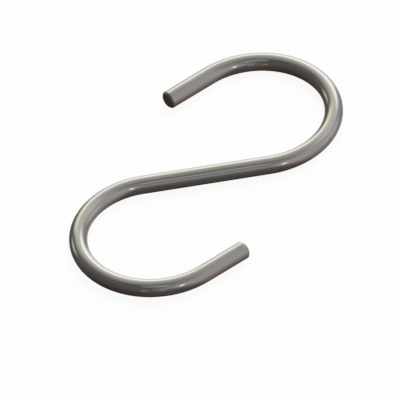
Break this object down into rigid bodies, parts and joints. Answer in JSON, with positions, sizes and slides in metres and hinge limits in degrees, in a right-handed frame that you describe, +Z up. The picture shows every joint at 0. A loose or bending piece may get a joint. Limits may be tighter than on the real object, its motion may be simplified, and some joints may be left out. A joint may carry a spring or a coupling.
{
  "type": "s hook",
  "caption": "S-shaped hanging hook bent from round steel bar: open rounded bends that face opposite ways, short straight tips and chamfered cut ends.",
  "frame": {"origin": "centre of the hook's half-turn symmetry, on the surface that it lies on", "axes": "+Y along the load line, through the centres of both bends, towards the upper hook; +X to the right when seen from above, away from the upper hook's tip; +Z up, square to the hook's plane"},
  "size_m": [0.0642, 0.1212, 0.006],
  "materials": {
    "polished_steel": "drawn stainless bar, polished smooth, with faint lengthwise drawing lines; cut ends left darker and slightly rougher"
  },
  "bodies": {
    "root": {"s_hook": "polished_steel"}
  },
  "joints": []
}
